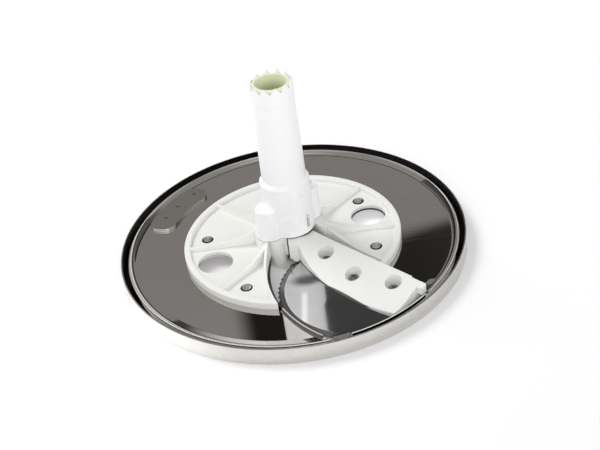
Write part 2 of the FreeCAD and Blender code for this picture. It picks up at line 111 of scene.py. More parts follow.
def shadesOf(colour, shades):
    return [tuple(min(1.0, channel * shade) for channel in colour) for shade in shades]


def objectPoint(tree):
    return addNode(tree, "TexCoord").outputs["Object"]


def splitPoint(tree, point):
    node = addNode(tree, "SeparateXYZ")
    tree.links.new(point, node.inputs[0])
    return node.outputs


def joinPoint(tree, *values):
    node = addNode(tree, "CombineXYZ")
    for socket, value in zip(node.inputs, values):
        feed(tree, socket, value)
    return node.outputs[0]


def lengthOf(tree, dx, dy):
    return mathNode(tree, "SQRT", mathNode(tree, "ADD", multiply(tree, dx, dx), multiply(tree, dy, dy)))


def offsetFrom(tree, x, y, centre):
    return mathNode(tree, "SUBTRACT", x, centre[0]), mathNode(tree, "SUBTRACT", y, centre[1])


def nearest(tree, x, y, *centres):
    best = lengthOf(tree, *offsetFrom(tree, x, y, centres[0]))
    for centre in centres[1:]:
        best = mathNode(tree, "MINIMUM", best, lengthOf(tree, *offsetFrom(tree, x, y, centre)))
    return best


def roundPoint(tree):
    x, y, z = splitPoint(tree, objectPoint(tree))
    return lengthOf(tree, x, y), x, y, z


def noiseOn(tree, point, scale=1.0, detail=4.0, rough=0.6):
    node = addNode(tree, "TexNoise", Scale=scale, Detail=detail, Roughness=rough)
    tree.links.new(point, node.inputs["Vector"])
    return node.outputs["Fac"]


def addBump(tree, shader, height, strength, distance, edge):
    rounded = addNode(tree, "Bevel", samples=6, Radius=edge)
    node = addNode(tree, "Bump", Strength=strength, Distance=distance)
    tree.links.new(height, node.inputs["Height"])
    tree.links.new(rounded.outputs[0], node.inputs["Normal"])
    tree.links.new(node.outputs[0], shader.inputs["Normal"])


# Mixes a colour in under a mask: real stains and specks, and also painted shade and painted highlights
def stainOrPaintedLight(tree, shader, mask, colour):
    socket = shader.inputs["Base Color"]
    tree.links.new(mixColours(tree, mask, socket.links[0].from_socket, colour), socket)


# Painted highlight: less mirror and more satin under a mask, which keeps that part pale in any view
def paintedHighlight(tree, shader, mask, colour, metal, rough):
    stainOrPaintedLight(tree, shader, mask, colour)
    tree.links.new(mathNode(tree, "MULTIPLY_ADD", mask, metal - 1.0, 1.0), shader.inputs["Metallic"])
    roughen(tree, shader, mask, rough)


def roughen(tree, shader, mask, rough):
    plain = shader.inputs["Roughness"].links[0].from_socket
    tree.links.new(mathNode(tree, "MULTIPLY_ADD", mask, rough, plain), shader.inputs["Roughness"])


def placesRound(radius, *degrees):
    return [(radius * math.cos(math.radians(turn)), radius * math.sin(math.radians(turn))) for turn in degrees]


# Rim hoop: brushed round its outside, near black inside as painted shade, and painted brighter at its near left as
# a highlight
hoopSteel = {
    "colour": (0.70, 0.685, 0.66),
    "shades": (0.93, 1.04),
    "leftSheenColour": (0.97, 0.96, 0.94),
    "leftSheenAcross": (-30.0 * mm, -70.0 * mm),
    "leftSheenNear": (-5.0 * mm, -45.0 * mm),
    "inside": (0.02, 0.02, 0.02),
    "insideTo": (94.18 * mm, 94.30 * mm),
    "brushRound": 2.0,
    "brushUp": 9000.0,
    "brushShare": 0.6,
    "mottleScale": 90.0,
    "wear": (0.3, 0.7),
    "roughness": (0.22, 0.38),
    "grain": 0.10,
    "grainDepth": 0.02 * mm,
    "edge": 0.2 * mm,
}


def makeHoopSteel():
    material, tree, shader = startMaterial("hoopSteel", hoopSteel["colour"], 1.0, 0.3)
    radius, x, y, z = roundPoint(tree)
    turn = mathNode(tree, "ARCTAN2", y, x)
    brushed = joinPoint(tree, multiply(tree, turn, hoopSteel["brushRound"]),
                        multiply(tree, z, hoopSteel["brushUp"]), 0.0)
    lines = noiseOn(tree, brushed)
    mottle = noiseOn(tree, objectPoint(tree), hoopSteel["mottleScale"])
    wear = mathNode(tree, "ADD", multiply(tree, lines, hoopSteel["brushShare"]),
                    multiply(tree, mottle, 1.0 - hoopSteel["brushShare"]))
    steel = mixColours(tree, wear, *shadesOf(hoopSteel["colour"], hoopSteel["shades"]))
    # Painted highlight: brighter towards the near left
    leftSheen = multiply(tree, rise(tree, x, *hoopSteel["leftSheenAcross"]), rise(tree, y, *hoopSteel["leftSheenNear"]))
    steel = mixColours(tree, leftSheen, steel, hoopSteel["leftSheenColour"])
    # Painted shade: near black on the inside face, and on the ledge below it
    inside = fall(tree, radius, *hoopSteel["insideTo"])
    tree.links.new(mixColours(tree, inside, steel, hoopSteel["inside"]), shader.inputs["Base Color"])
    tree.links.new(ramp(tree, wear, *hoopSteel["wear"], *hoopSteel["roughness"]), shader.inputs["Roughness"])
    addBump(tree, shader, lines, hoopSteel["grain"], hoopSteel["grainDepth"], hoopSteel["edge"])
    return material


# Polished steel: a mirror with faint rolling grain and a soft cloud of haze
mirrorPolish = {
    "grainAcross": 6.0,
    "grainAlong": 900.0,
    "grainDepth": 0.01 * mm,
    "cloudScale": 28.0,
    "haze": (0.12, 0.40),
    "shades": (0.95, 1.03),
}


def makeMirrorSteel(name, values):
    material, tree, shader = startMaterial(name, values["colour"], 1.0, 0.05)
    x, y, z = splitPoint(tree, objectPoint(tree))
    rolled = joinPoint(tree, multiply(tree, x, mirrorPolish["grainAcross"]),
                       multiply(tree, y, mirrorPolish["grainAlong"]), z)
    grain = noiseOn(tree, rolled, detail=3.0)
    cloud = noiseOn(tree, objectPoint(tree), mirrorPolish["cloudScale"])
    haze = ramp(tree, multiply(tree, grain, cloud), *mirrorPolish["haze"], *values["roughness"])
    tree.links.new(haze, shader.inputs["Roughness"])
    tree.links.new(mixColours(tree, cloud, *shadesOf(values["colour"], mirrorPolish["shades"])),
                   shader.inputs["Base Color"])
    addBump(tree, shader, grain, values["grain"], mirrorPolish["grainDepth"], values["edge"])
    return material, tree, shader


# Main plate: the brightest polish, with an underside painted dark as shade and made rougher, and two dark specks
# on its right
plateSteel = {
    "colour": (0.66, 0.63, 0.605),
    "roughness": (0.02, 0.055),
    "grain": 0.012,
    "edge": 0.1 * mm,
    "undersideShade": (0.09, 0.09, 0.09),
    "undersideFacing": (-0.25, -0.15),
    "undersideFrom": (88.0 * mm, 88.5 * mm),
    "undersideRough": 0.4,
    "specks": ((75.04 * mm, 29.04 * mm), (65.05 * mm, 24.70 * mm)),
    "speckReach": (0.18 * mm, 0.45 * mm),
    "speckShare": 0.75,
    "speckColour": (0.02, 0.02, 0.02),
}

# The plate's edge along the slicing slot: painted shade along it beside the hub, and painted shade on the bends of
# its flange
plateSlot = {
    "centre": (57.584 * mm, -31.568 * mm),
    "radius": 72.969 * mm,
    "slotShadeTo": (1.5 * mm, 1.7 * mm),
    "slotShadeWithin": (59.9 * mm, 60.1 * mm),
    "slotShadeColour": (0.045, 0.045, 0.05),
    "flangeTo": (2.0 * mm, 2.1 * mm),
    "flangeAbove": (6.0 * mm, 6.1 * mm),
    "flangeBelow": (7.45 * mm, 7.55 * mm),
    "flangeShadeColour": (0.20, 0.195, 0.19),
}

# The plate's upturned lip: it bends up from bendStart on a radius of bend, with painted shade in its crease and in
# the gap beyond it, and a painted highlight on its crest
plateLip = {
    "plateTop": 5.93 * mm,
    "bendStart": 86.797 * mm,
    "bend": 4.4 * mm,
    "steepest": 0.866,  # sine of 60 degrees, at which the lip ends
    "topTo": 90.58 * mm,
    "topFacing": 0.42,
    "dishFrom": (83.9 * mm, 84.4 * mm),
    "dish": 0.26,
    "nearSide": (-62.0 * mm, -48.0 * mm),
    "creaseFrom": (87.15 * mm, 87.35 * mm),
    "creaseTo": (88.0 * mm, 88.3 * mm),
    "creaseShare": 0.85,
    "creaseShadeColour": (0.09, 0.085, 0.085),
    "crestFrom": (90.40 * mm, 90.50 * mm),
    "crestTo": (91.00 * mm, 91.05 * mm),
    "crestFades": (-50.0 * mm, -5.0 * mm),
    "crestFar": 0.25,
    "highlightColour": (0.93, 0.925, 0.92),
    "crestMetal": 0.15,
    "crestRough": 0.25,
    "gapFrom": (91.05 * mm, 91.13 * mm),
    "gapShadeColour": (0.012, 0.012, 0.012),
}


# The rolled lip's own normals, so that its reflections run round without facets
def rollLip(tree, shader, radius, x, y, z, facing):
    sine = mathNode(tree, "DIVIDE", mathNode(tree, "SUBTRACT", radius, plateLip["bendStart"]), plateLip["bend"])
    sine = mathNode(tree, "MINIMUM", mathNode(tree, "MAXIMUM", sine, 0.0), plateLip["steepest"])
    dish = multiply(tree, ramp(tree, radius, *plateLip["dishFrom"], 0.0, plateLip["dish"]),
                    fall(tree, y, *plateLip["nearSide"]))
    sine = mathNode(tree, "MAXIMUM", sine, dish)
    cosine = mathNode(tree, "SQRT", mathNode(tree, "SUBTRACT", 1.0, multiply(tree, sine, sine)))
    inward = mathNode(tree, "DIVIDE", multiply(tree, sine, -1.0), radius)
    normal = joinPoint(tree, multiply(tree, x, inward), multiply(tree, y, inward), cosine)
    onTop = multiply(tree, mathNode(tree, "GREATER_THAN", facing, plateLip["topFacing"]),
                     mathNode(tree, "LESS_THAN", radius, plateLip["topTo"]))
    onSheet = mathNode(tree, "MAXIMUM", mathNode(tree, "LESS_THAN", z, plateLip["plateTop"]),
                       mathNode(tree, "GREATER_THAN", radius, plateLip["bendStart"]))
    bump = shader.inputs["Normal"].links[0].from_node
    rounded = bump.inputs["Normal"].links[0].from_socket
    chosen = addNode(tree, "Mix", data_type="VECTOR")
    tree.links.new(multiply(tree, onTop, onSheet), chosen.inputs[0])
    tree.links.new(rounded, chosen.inputs[4])
    tree.links.new(normal, chosen.inputs[5])
    tree.links.new(chosen.outputs[1], bump.inputs["Normal"])


def makePlateSteel():
    material, tree, shader = makeMirrorSteel("plateSteel", plateSteel)
    radius, x, y, z = roundPoint(tree)
    facing = splitPoint(tree, addNode(tree, "NewGeometry").outputs["Normal"])[2]
    rollLip(tree, shader, radius, x, y, z, facing)

    # Painted shade along the slot's edge beside the hub
    fromSlot = mathNode(tree, "SUBTRACT", nearest(tree, x, y, plateSlot["centre"]), plateSlot["radius"])
    slotShade = multiply(tree, fall(tree, fromSlot, *plateSlot["slotShadeTo"]), fall(tree, radius, *plateSlot["slotShadeWithin"]))
    stainOrPaintedLight(tree, shader, slotShade, plateSlot["slotShadeColour"])
    # Painted shade on the flange's bends
    flangeShade = multiply(tree, fall(tree, fromSlot, *plateSlot["flangeTo"]), rise(tree, z, *plateSlot["flangeAbove"]),
                      fall(tree, z, *plateSlot["flangeBelow"]))
    stainOrPaintedLight(tree, shader, flangeShade, plateSlot["flangeShadeColour"])

    # Painted shade in the gap beyond the lip's edge
    stainOrPaintedLight(tree, shader, rise(tree, radius, *plateLip["gapFrom"]), plateLip["gapShadeColour"])
    # Painted shade in the lip's crease on the near side
    creaseShade = multiply(tree, rise(tree, radius, *plateLip["creaseFrom"]), fall(tree, radius, *plateLip["creaseTo"]),
                      ramp(tree, y, *plateLip["nearSide"], plateLip["creaseShare"], 0.0))
    stainOrPaintedLight(tree, shader, creaseShade, plateLip["creaseShadeColour"])
    for speck in plateSteel["specks"]:
        dot = ramp(tree, nearest(tree, x, y, speck), *plateSteel["speckReach"], plateSteel["speckShare"], 0.0)
        stainOrPaintedLight(tree, shader, dot, plateSteel["speckColour"])

    # Painted shade on the lip's underside, which is also made rougher
    below = multiply(tree, fall(tree, facing, *plateSteel["undersideFacing"]),
                     rise(tree, radius, *plateSteel["undersideFrom"]))
    stainOrPaintedLight(tree, shader, below, plateSteel["undersideShade"])
    roughen(tree, shader, below, plateSteel["undersideRough"])
    # Painted highlight on the lip's crest
    crestHighlight = multiply(tree, rise(tree, radius, *plateLip["crestFrom"]), fall(tree, radius, *plateLip["crestTo"]),
                     ramp(tree, y, *plateLip["crestFades"], 1.0, plateLip["crestFar"]))
    paintedHighlight(tree, shader, crestHighlight, plateLip["highlightColour"], plateLip["crestMetal"], plateLip["crestRough"])
    return material


# Blade: polished like the plate and a touch duller, leaning by half a degree
bladeSteel = {
    "colour": (0.62, 0.61, 0.61),
    "roughness": (0.045, 0.085),
    "grain": 0.02,
    "edge": 0.06 * mm,
    "lean": -0.010,
    # haze is the share of the crest's painted highlight that the whole blade gets
    "haze": 0.06,  # the least share of satin all over
    "lipAbove": (6.6 * mm, 6.9 * mm),
    "lipFrom": (90.05 * mm, 90.15 * mm),
    "lipTo": (90.80 * mm, 90.84 * mm),
    "gapFrom": (90.84 * mm, 90.90 * mm),
}

# Its ground bevel along the cutting edge, brushed across and painted dark for its dimmer reflection, and painted
# shade on the gullets of its teeth
bladeEdge = {
    "centre": (30.3 * mm, -46.6 * mm),
    "from": (38.5 * mm, 38.7 * mm),
    "colour": (0.19, 0.182, 0.178),
    "strokesRound": 260.0,
    "strokesOut": 60.0,
    "roughness": 0.12,
    "strokeRough": 0.14,
    "toothFrom": (40.7 * mm, 41.1 * mm),
    "toothUntil": (0.32, 0.20),  # how far the teeth run along the edge, as a sine
    "toothShare": 0.92,
    "toothShadeColour": (0.05, 0.048, 0.046),
}

# Its tab at the hoop in painted shade, and two painted reflections of what it mirrors: a soft dark patch and a
# light streak
bladeMarks = {
    "tabTurns": (-82.2, -75.9),  # degrees round the stem
    "tabFrom": (84.5 * mm, 85.5 * mm),
    "tabShadeColour": (0.11, 0.105, 0.10),
    "patch": (4.4 * mm, -36.4 * mm),
    "patchAcross": 0.55,  # share of the distance across that counts, so the patch is wider than long
    "patchReach": (1.6 * mm, 6.6 * mm),
    "patchShare": 0.96,
    "patchColour": (0.05, 0.045, 0.042),
    "streakAt": 6.4 * mm,
    "streakSlope": 0.09,
    "streakReach": (0.2 * mm, 2.6 * mm),
    "streakFrom": (-44.0 * mm, -50.0 * mm),
    "streakShare": 0.9,
    "streakColour": (1.0, 1.0, 1.0),
}


def leanBlade(tree, shader):
    bump = shader.inputs["Normal"].links[0].from_node
    leaned = addNode(tree, "VectorMath", operation="ADD")
    tree.links.new(bump.inputs["Normal"].links[0].from_socket, leaned.inputs[0])
    leaned.inputs[1].default_value = (bladeSteel["lean"], 0.0, 0.0)
    tree.links.new(leaned.outputs[0], bump.inputs["Normal"])


def makeBladeSteel():
    material, tree, shader = makeMirrorSteel("bladeSteel", bladeSteel)
    leanBlade(tree, shader)
    radius, x, y, z = roundPoint(tree)

    dx, dy = offsetFrom(tree, x, y, bladeEdge["centre"])
    reach = lengthOf(tree, dx, dy)
    ground = rise(tree, reach, *bladeEdge["from"])
    strokes = joinPoint(tree, multiply(tree, mathNode(tree, "ARCTAN2", dy, dx), bladeEdge["strokesRound"]),
                        multiply(tree, reach, bladeEdge["strokesOut"]), 0.0)
    groundRough = mathNode(tree, "ADD", bladeEdge["roughness"],
                           multiply(tree, noiseOn(tree, strokes, detail=3.0), bladeEdge["strokeRough"]))
    polished = shader.inputs["Roughness"].links[0].from_socket
    tree.links.new(blendValues(tree, ground, polished, groundRough), shader.inputs["Roughness"])
    # The bevel is painted dark, standing in for its dimmer reflection
    stainOrPaintedLight(tree, shader, ground, bladeEdge["colour"])
    alongEdge = mathNode(tree, "DIVIDE", dy, multiply(tree, reach, -1.0))
    # Painted shade on the teeth
    toothShade = multiply(tree, ramp(tree, reach, *bladeEdge["toothFrom"], 0.0, bladeEdge["toothShare"]),
                       rise(tree, alongEdge, *bladeEdge["toothUntil"]))
    stainOrPaintedLight(tree, shader, toothShade, bladeEdge["toothShadeColour"])

    turn = mathNode(tree, "ARCTAN2", y, x)
    first, last = [math.radians(degrees) for degrees in bladeMarks["tabTurns"]]
    onTab = multiply(tree, mathNode(tree, "GREATER_THAN", turn, first), mathNode(tree, "LESS_THAN", turn, last),
                     rise(tree, radius, *bladeMarks["tabFrom"]))
    stainOrPaintedLight(tree, shader, onTab, bladeMarks["tabShadeColour"])
    wide, tall = offsetFrom(tree, x, y, bladeMarks["patch"])
    spread = lengthOf(tree, multiply(tree, wide, bladeMarks["patchAcross"]), tall)
    patch = ramp(tree, spread, *bladeMarks["patchReach"], bladeMarks["patchShare"], 0.0)
    stainOrPaintedLight(tree, shader, patch, bladeMarks["patchColour"])
    middle = mathNode(tree, "MULTIPLY_ADD", y, bladeMarks["streakSlope"], bladeMarks["streakAt"])
    across = mathNode(tree, "ABSOLUTE", mathNode(tree, "SUBTRACT", x, middle))
    streak = multiply(tree, ramp(tree, across, *bladeMarks["streakReach"], bladeMarks["streakShare"], 0.0),
                      rise(tree, y, *bladeMarks["streakFrom"]), mathNode(tree, "SUBTRACT", 1.0, ground))
    stainOrPaintedLight(tree, shader, streak, bladeMarks["streakColour"])

    # Painted shade in the gap beyond the blade's lip, a painted highlight on the lip's crest, and a small share of
    # that highlight all over the blade
    stainOrPaintedLight(tree, shader, rise(tree, radius, *bladeSteel["gapFrom"]), plateLip["gapShadeColour"])
    crestHighlight = multiply(tree, rise(tree, z, *bladeSteel["lipAbove"]), rise(tree, radius, *bladeSteel["lipFrom"]),
                     fall(tree, radius, *bladeSteel["lipTo"]), mathNode(tree, "SUBTRACT", 1.0, onTab))
    crestHighlight = mathNode(tree, "MAXIMUM", crestHighlight, bladeSteel["haze"])
    paintedHighlight(tree, shader, crestHighlight, plateLip["highlightColour"], plateLip["crestMetal"], plateLip["crestRough"])
    return material


# Hub screws sit in recesses with painted shade, with a painted shadow ring round each head and one small painted
# glint on it
hubScrews = {
    "places": placesRound(47.8 * mm, 168.7, -125.1, 33.5, -23.2),
    "ringFrom": (2.25 * mm, 2.55 * mm),
    "ringShadeColour": (0.07, 0.062, 0.056),
    "glintAt": (0.42 * mm, 0.30 * mm),
    "glintReach": (0.275 * mm, 0.55 * mm),
    "glintShare": 0.8,
    "glintMetal": 0.3,
    "glintRough": 0.1,
}

# Moulded plastic: a fine spark-eroded skin over slow flow clouds
moulding = {
    "skinScale": 2400.0,
    "skinDepth": 0.03 * mm,
    "flowScale": 35.0,
    "flow": (0.3, 0.7),
    "shades": (0.975, 1.015),
}

# The mouldings, slightly warm on the hub and arm and neutral on the stem. A mark is a zone of other colour, mostly
# painted shade:
# above and below are heights, within is a radius round the stem, and nearScrews a radius round the hub's screws
hubPlastic = {
    "colour": (0.888, 0.893, 0.858),
    "roughness": (0.30, 0.46),
    "skin": 0.05,
    "edge": 0.4 * mm,
    "marks": [
        # Painted shade in the recesses round the hub's screws
        {"colour": (0.16, 0.14, 0.13), "below": (7.76 * mm, 7.88 * mm), "nearScrews": (3.3 * mm, 3.42 * mm)},
    ],
}
stemPlastic = {
    "colour": (0.95, 0.95, 0.952),
    "roughness": (0.26, 0.40),
    "skin": 0.04,
    "edge": 0.35 * mm,
    "marks": [
        # Painted shade along the foot of the collar, where it meets the arm
        {"colour": (0.30, 0.28, 0.27), "below": (17.15 * mm, 17.35 * mm)},
        {"colour": (0.76, 0.81, 0.59), "above": (100.5 * mm, 101.5 * mm), "below": (103.7 * mm, 104.7 * mm),
         "within": (11.15 * mm, 11.25 * mm)},
    ],
}
armPlastic = {
    "colour": (0.90, 0.905, 0.875),
    "roughness": (0.30, 0.46),
    "skin": 0.05,
    "edge": 0.4 * mm,
    "marks": [
        # Painted shade on the arm's ring under the collar
        {"colour": (0.10, 0.08, 0.07), "within": (13.0 * mm, 13.3 * mm)},
        # Painted shade at the foot of the arm's walls, where they meet the blade
        {"colour": (0.10, 0.095, 0.09), "below": (5.73 * mm, 5.97 * mm), "within": (72.0 * mm, 76.0 * mm)},
    ],
}
corePlastic = {
    "colour": (0.87, 0.925, 0.68),
    "roughness": (0.34, 0.50),
    "skin": 0.05,
    "edge": 0.3 * mm,
    "marks": [
        # Painted shade: the core darkens towards the bottom of its bore
        {"colour": (0.42, 0.44, 0.22), "below": (92.5 * mm, 103.0 * mm)},
    ],
}


def makePlastic(name, values):
    material, tree, shader = startMaterial(name, values["colour"], 0.0, 0.35)
    radius, x, y, z = roundPoint(tree)
    skin = noiseOn(tree, objectPoint(tree), moulding["skinScale"], detail=2.0, rough=0.5)
    flow = noiseOn(tree, objectPoint(tree), moulding["flowScale"], detail=3.0, rough=0.55)
    tree.links.new(ramp(tree, flow, *moulding["flow"], *values["roughness"]), shader.inputs["Roughness"])
    tone = mixColours(tree, flow, *shadesOf(values["colour"], moulding["shades"]))
    for mark in values["marks"]:
        limits = []
        if "above" in mark:
            limits.append(rise(tree, z, *mark["above"]))
        if "below" in mark:
            limits.append(fall(tree, z, *mark["below"]))
        if "within" in mark:
            limits.append(fall(tree, radius, *mark["within"]))
        if "nearScrews" in mark:
            limits.append(fall(tree, nearest(tree, x, y, *hubScrews["places"]), *mark["nearScrews"]))
        tone = mixColours(tree, multiply(tree, *limits), tone, mark["colour"])
    tree.links.new(tone, shader.inputs["Base Color"])
    addBump(tree, shader, skin, values["skin"], moulding["skinDepth"], values["edge"])
    return material


# Balance weight: three brown welds, and a painted highlight on the walls that face the front
weightSteel = {
    "colour": (0.60, 0.56, 0.52),
    "roughness": (0.10, 0.22),
    "grain": 0.04,
    "edge": 0.3 * mm,
    "welds": placesRound(80.06 * mm, 132.4, 142.8, 151.6),
    "weldReach": (0.9 * mm, 1.5 * mm),
    "weldShare": 0.8,
    "weldColour": (0.33, 0.285, 0.25),
    "wallFacing": (0.55, 0.75),
    "frontFacing": (-0.35, -0.75),
    "rightFacing": (0.15, 0.45),
    "rightShare": 0.35,
    "litBeyondWeld": (1.6 * mm, 2.0 * mm),
    "middle": 6.65 * mm,
    "middleHalf": (0.1 * mm, 0.35 * mm),
    "middleShare": 0.35,
    "litMetal": 0.4,
    "litRough": 0.2,
}


def makeWeightSteel():
    material, tree, shader = makeMirrorSteel("weightSteel", weightSteel)
    x, y, z = splitPoint(tree, objectPoint(tree))
    weld = nearest(tree, x, y, *weightSteel["welds"])
    stainOrPaintedLight(tree, shader, ramp(tree, weld, *weightSteel["weldReach"], weightSteel["weldShare"], 0.0),
          weightSteel["weldColour"])
    faceX, faceY, faceZ = splitPoint(tree, addNode(tree, "NewGeometry").outputs["Normal"])
    offMiddle = mathNode(tree, "ABSOLUTE", mathNode(tree, "SUBTRACT", z, weightSteel["middle"]))
    # Painted highlight on the front-facing walls, away from the welds
    lit = multiply(tree, fall(tree, faceZ, *weightSteel["wallFacing"]),
                   rise(tree, faceY, *weightSteel["frontFacing"]),
                   ramp(tree, faceX, *weightSteel["rightFacing"], 1.0, weightSteel["rightShare"]),
                   rise(tree, weld, *weightSteel["litBeyondWeld"]),
                   ramp(tree, offMiddle, *weightSteel["middleHalf"], weightSteel["middleShare"], 1.0))
    paintedHighlight(tree, shader, lit, plateLip["highlightColour"], weightSteel["litMetal"], weightSteel["litRough"])
    return material


# Screws, the guide pin, and the slot's bead in near black as painted shade
screwSteel = {"colour": (0.86, 0.83, 0.81), "roughness": (0.24, 0.40), "grain": 0.05, "edge": 0.15 * mm}
armScrewSteel = {"colour": (0.34, 0.33, 0.32), "roughness": (0.22, 0.38), "grain": 0.05, "edge": 0.15 * mm}
pinSteel = {"colour": (0.93, 0.92, 0.92), "roughness": (0.45, 0.60), "grain": 0.03, "edge": 0.2 * mm}
slotShadeSteel = {"colour": (0.07, 0.07, 0.075), "roughness": (0.16, 0.30), "grain": 0.03, "edge": 0.1 * mm}


def makeHubScrewSteel():
    material, tree, shader = makeMirrorSteel("hubScrewSteel", screwSteel)
    x, y, z = splitPoint(tree, objectPoint(tree))
    # Painted shadow ring round each head, and a painted glint on it
    ringShade = rise(tree, nearest(tree, x, y, *hubScrews["places"]), *hubScrews["ringFrom"])
    stainOrPaintedLight(tree, shader, ringShade, hubScrews["ringShadeColour"])
    right, back = hubScrews["glintAt"]
    glints = [(screwX + right, screwY + back) for screwX, screwY in hubScrews["places"]]
    glint = ramp(tree, nearest(tree, x, y, *glints), *hubScrews["glintReach"], hubScrews["glintShare"], 0.0)
    paintedHighlight(tree, shader, glint, plateLip["highlightColour"], hubScrews["glintMetal"], hubScrews["glintRough"])
    return material


finishes = {
    "hoopSteel": makeHoopSteel(),
    "plateSteel": makePlateSteel(),
    "bladeSteel": makeBladeSteel(),
    "weightSteel": makeWeightSteel(),
    "hubScrewSteel": makeHubScrewSteel(),
}
for finish, values in (("screwSteel", screwSteel), ("armScrewSteel", armScrewSteel), ("slotShadeSteel", slotShadeSteel),
                       ("pinSteel", pinSteel)):
    finishes[finish] = makeMirrorSteel(finish, values)[0]
for finish, values in (("hubPlastic", hubPlastic), ("armPlastic", armPlastic), ("stemPlastic", stemPlastic),
                       ("corePlastic", corePlastic)):
    finishes[finish] = makePlastic(finish, values)
print("materials made:", len(finishes))

nodeFinish = {
    "rim_hoop": "hoopSteel",
    "main_plate": "plateSteel",
    "blade_plate": "bladeSteel",
    "balance_weight": "weightSteel",
    "hub_moulding": "hubPlastic",
    "centre_cap": "hubPlastic",
    "blade_arm": "armPlastic",
    "drive_tube": "stemPlastic",
    "drive_core": "corePlastic",
    "guide_pin": "pinSteel",
}
screwFinish = {"arm": "armScrewSteel", "hub": "hubScrewSteel", "collar": "screwSteel"}
for name, node in nodes.items():
    finish = nodeFinish.get(name) or screwFinish[name.split("_")[0]]
    for slot in node.material_slots:
        slot.material = finishes[finish]
print("nodes dressed:", len(nodes))


# A mesh swept through rows of points, each row one closed section
def sweptMesh(name, rows, closed, smooth):
    mesh = bpy.data.meshes.new(name)
    points = [point for row in rows for point in row]
    count, sides = len(rows), len(rows[0])
    faces = []
    for i in range(count if closed else count - 1):
        near, far = i * sides, (i + 1) % count * sides
        for j in range(sides):
            k = (j + 1) % sides
            faces.append((near + j, near + k, far + k, far + j))
    if not closed:
        faces += [tuple(reversed(range(sides))), tuple(range((count - 1) * sides, count * sides))]
    mesh.from_pydata(points, [], faces)
    mesh.polygons.foreach_set("use_smooth", [smooth] * len(mesh.polygons))
    mesh.update()
    return mesh


def addPiece(name, mesh, body, finish):
    piece = bpy.data.objects.new(name, mesh)
    bpy.context.scene.collection.objects.link(piece)
    mesh.materials.append(finishes[finish])
    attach(piece, body)


# Rolled edge of the slicing slot, which runs on beside the hub to its boss and thins out at both ends. Its
# near-black steel is painted shade for the shaded gap along the hub's side
slotRoll = {
    "bead": 0.68 * mm,
    "endShare": 0.35,
    "thinsOver": 6.0,
    "setOut": -0.12 * mm,
    "height": 5.2 * mm,
    "from": 166.5,
    "to": 199.0,
    "steps": 48,
    "sides": 10,
}


def makeSlotRoll():
    centreX, centreY = plateSlot["centre"]
    rows = []
    for i in range(slotRoll["steps"] + 1):
        part = i / slotRoll["steps"]
        turn = math.radians(slotRoll["from"] + (slotRoll["to"] - slotRoll["from"]) * part)
        bead = slotRoll["bead"] * min(1.0, slotRoll["endShare"] + slotRoll["thinsOver"] * min(part, 1.0 - part))
        row = []
        for j in range(slotRoll["sides"]):
            tilt = 2.0 * math.pi * j / slotRoll["sides"]
            reach = plateSlot["radius"] + slotRoll["setOut"] + bead * math.cos(tilt)
            row.append((centreX + reach * math.cos(turn), centreY + reach * math.sin(turn),
                        slotRoll["height"] + bead * math.sin(tilt)))
        rows.append(row)
    addPiece("slot_roll", sweptMesh("slot_roll", rows, False, True), "lifting_half", "slotShadeSteel")


# Ledge at the foot of the hoop, a dark piece that stands in for shade: black with the hoop's painted inside shade,
# it makes the gap beside the plate's lip black
hoopShadeLedge = {
    "inner": 89.6 * mm,
    "outer": 94.15 * mm,
    "low": 0.35 * mm,
    "high": 0.95 * mm,
    "slope": 0.4 * mm,
    "steps": 180,
}


def makeHoopShadeLedge():
    inner, outer, low, high = [hoopShadeLedge[key] for key in ("inner", "outer", "low", "high")]
    section = ((inner, low), (outer, low), (outer, high + hoopShadeLedge["slope"]), (inner, high))
    rows = []
    for i in range(hoopShadeLedge["steps"]):
        turn = 2.0 * math.pi * i / hoopShadeLedge["steps"]
        rows.append([(reach * math.cos(turn), reach * math.sin(turn), z) for reach, z in section])
    addPiece("hoop_shade_ledge", sweptMesh("hoop_shade_ledge", rows, True, False), "fixed_half", "hoopSteel")


makeSlotRoll()
makeHoopShadeLedge()
print("slot roll and hoop ledge made")


# Table top: white paper that keeps the shadow. It glows a little where it is seen or mirrored, more under the
# disc as a painted pool of light for what shows through its holes, and more far off so that a low view has no grey
# horizon
tableTop = {
    "size": 6.0,
    "drop": 0.05 * mm,
    "colour": (0.95, 0.948, 0.952),
    "glow": 0.095,
    "underGlow": 0.36,
    "underTo": (80.0 * mm, 88.0 * mm),
    "underAcross": (5.0 * mm, 40.0 * mm),
    "underLeft": 0.08,
    "farGlow": 0.55,
    "farFrom": (0.25, 1.0),
}


def makeTablePaper():
    material = bpy.data.materials.new("tablePaper")
    material.use_nodes = True
    tree = material.node_tree
    tree.nodes.remove(tree.nodes["Principled BSDF"])
    paper = addNode(tree, "BsdfDiffuse", Color=(*tableTop["colour"], 1.0))
    glow = addNode(tree, "Emission", Color=(1.0, 1.0, 1.0, 1.0))
    seen = addNode(tree, "LightPath")
    direct = mathNode(tree, "MAXIMUM", seen.outputs["Is Camera Ray"], seen.outputs["Is Glossy Ray"])
    direct = mathNode(tree, "MAXIMUM", direct, seen.outputs["Is Transmission Ray"])
    radius, x, y, z = roundPoint(tree)
    under = multiply(tree, ramp(tree, radius, *tableTop["underTo"], tableTop["underGlow"], 0.0),
                     ramp(tree, x, *tableTop["underAcross"], tableTop["underLeft"], 1.0))
    near = multiply(tree, direct, mathNode(tree, "ADD", under, tableTop["glow"]))
    far = multiply(tree, seen.outputs["Is Camera Ray"],
                   ramp(tree, radius, *tableTop["farFrom"], 0.0, tableTop["farGlow"]))
    tree.links.new(mathNode(tree, "ADD", near, far), glow.inputs["Strength"])
    both = addNode(tree, "AddShader")
    tree.links.new(paper.outputs[0], both.inputs[0])
    tree.links.new(glow.outputs[0], both.inputs[1])
    tree.links.new(both.outputs[0], tree.nodes["Material Output"].inputs["Surface"])
    return material


